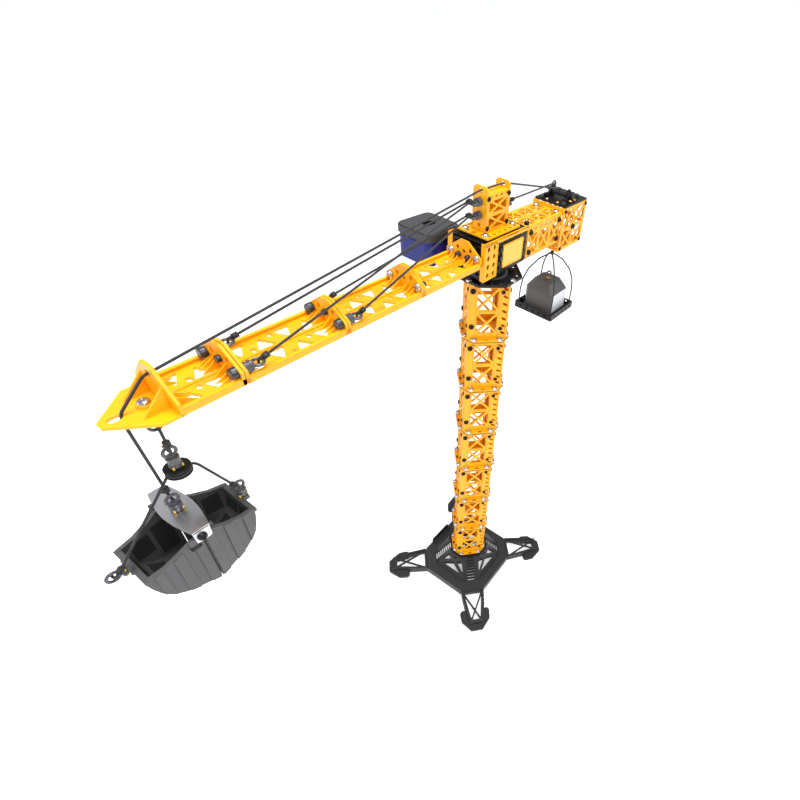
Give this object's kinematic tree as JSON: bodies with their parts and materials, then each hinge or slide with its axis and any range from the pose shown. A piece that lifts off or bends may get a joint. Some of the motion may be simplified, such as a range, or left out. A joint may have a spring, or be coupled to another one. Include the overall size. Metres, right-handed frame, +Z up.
{
  "type": "toy tower crane",
  "caption": "Toy tower crane: bolted lattice tower on a toed base, slewing head with cab, jib, winch and hung counterweight, and a clamshell bucket on ropes.",
  "frame": {"origin": "on the tower's axis at the ground, in the foot of the base's centre post", "axes": "+Z up, +X along the jib towards its nose, +Y to the side of the cab that carries the panel"},
  "size_m": [0.6104, 0.2264, 0.7185],
  "materials": {
    "yellow_plastic": "satin moulded plastic",
    "sign_panel": "glossy sticker on plastic",
    "black_plastic": "fine grain",
    "base_plastic": "fine grain",
    "grey_plastic": "smooth",
    "bucket_plastic": "satin",
    "blue_plastic": "satin",
    "saddle_metal": "pale satin",
    "weight_plastic": "fine grain",
    "rope_cord": "braided cord",
    "bolt_metal": "domed heads",
    "brass_metal": "bright",
    "label_paper": "light grey label"
  },
  "bodies": {
    "tower": {"base_frame": "base_plastic", "leg_1": "base_plastic", "leg_2": "base_plastic", "leg_3": "base_plastic", "leg_4": "base_plastic", "tower_section_1": "yellow_plastic", "tower_section_2": "yellow_plastic", "tower_section_3": "yellow_plastic", "tower_section_4": "yellow_plastic", "tower_section_5": "yellow_plastic", "tower_section_6": "yellow_plastic", "tower_section_7": "yellow_plastic", "turntable_lower": "black_plastic"},
    "head": {"cab_shell": "black_plastic", "cab_angle_near": "yellow_plastic", "cab_angle_far": "yellow_plastic", "cab_sign": "sign_panel", "cab_roof": "yellow_plastic", "mast": "yellow_plastic", "mast_eye_upper": "grey_plastic", "mast_eye_lower": "grey_plastic", "mast_eye_back": "grey_plastic", "jib_segment_1": "yellow_plastic", "jib_segment_2": "yellow_plastic", "jib_segment_3": "yellow_plastic", "jib_segment_4": "yellow_plastic", "jib_eye_inner_near": "grey_plastic", "jib_eye_inner_far": "grey_plastic", "jib_eye_outer_near": "grey_plastic", "jib_eye_outer_far": "grey_plastic", "nose_eye": "grey_plastic", "counter_jib": "yellow_plastic", "counter_box": "yellow_plastic", "winch_plate": "black_plastic", "winch_eye": "grey_plastic", "motor_body": "blue_plastic", "motor_lid": "grey_plastic", "rope_hoist": "rope_cord", "rope_back": "rope_cord", "tie_inner_near": "rope_cord", "tie_inner_far": "rope_cord", "tie_outer_near": "rope_cord", "tie_outer_far": "rope_cord"},
    "winch": {"winch_drum": "black_plastic"},
    "switch": {"motor_switch": "black_plastic"},
    "weight": {"weight_tray": "black_plastic", "weight_block": "weight_plastic", "weight_ring": "grey_plastic", "weight_cords": "rope_cord"},
    "grab": {"bucket_saddle": "saddle_metal", "bucket_eye_middle": "grey_plastic", "pulley_eye": "grey_plastic", "rope_drop": "rope_cord", "rope_hanger": "rope_cord", "rope_spreader": "rope_cord"},
    "pulley": {"bucket_pulley": "black_plastic"},
    "jaw_front": {"bucket_jaw_front": "bucket_plastic", "bucket_eye_front": "grey_plastic"},
    "jaw_back": {"bucket_jaw_back": "bucket_plastic", "bucket_eye_back": "grey_plastic"}
  },
  "joints": [
    {"name": "slew", "type": "hinge", "parent": "tower", "child": "head", "pos_m": [0, 0, 0.618], "axis": [0, 0, 1], "continuous": true},
    {"name": "winch_spin", "type": "hinge", "parent": "head", "child": "winch", "pos_m": [-0.15, 0, 0.6793], "axis": [0, 1, 0], "continuous": true},
    {"name": "switch_slide", "type": "slide", "parent": "head", "child": "switch", "axis": [1, 0, 0], "range_m": [0, 0.004]},
    {"name": "weight_swing", "type": "hinge", "parent": "head", "child": "weight", "pos_m": [-0.153, 0, 0.605], "axis": [0, 1, 0], "range_deg": [-15, 15]},
    {"name": "grab_swing", "type": "hinge", "parent": "head", "child": "grab", "pos_m": [0.3575, 0, 0.628], "axis": [1, 0, 0], "range_deg": [-15, 15], "deforming": ["rope_drop", "rope_hanger"]},
    {"name": "pulley_spin", "type": "hinge", "parent": "grab", "child": "pulley", "pos_m": [0.3575, 0, 0.5845], "axis": [0, 0, 1], "continuous": true},
    {"name": "jaw_front_open", "type": "hinge", "parent": "grab", "child": "jaw_front", "pos_m": [0.369, 0, 0.543], "axis": [0, -1, 0], "range_deg": [0, 25], "deforming": ["rope_spreader"]},
    {"name": "jaw_back_open", "type": "hinge", "parent": "grab", "child": "jaw_back", "pos_m": [0.369, 0, 0.543], "axis": [0, 1, 0], "range_deg": [0, 25]}
  ],
  "couplings": [
    {"joint": "jaw_back_open", "follows": "jaw_front_open", "ratio": 1}
  ]
}
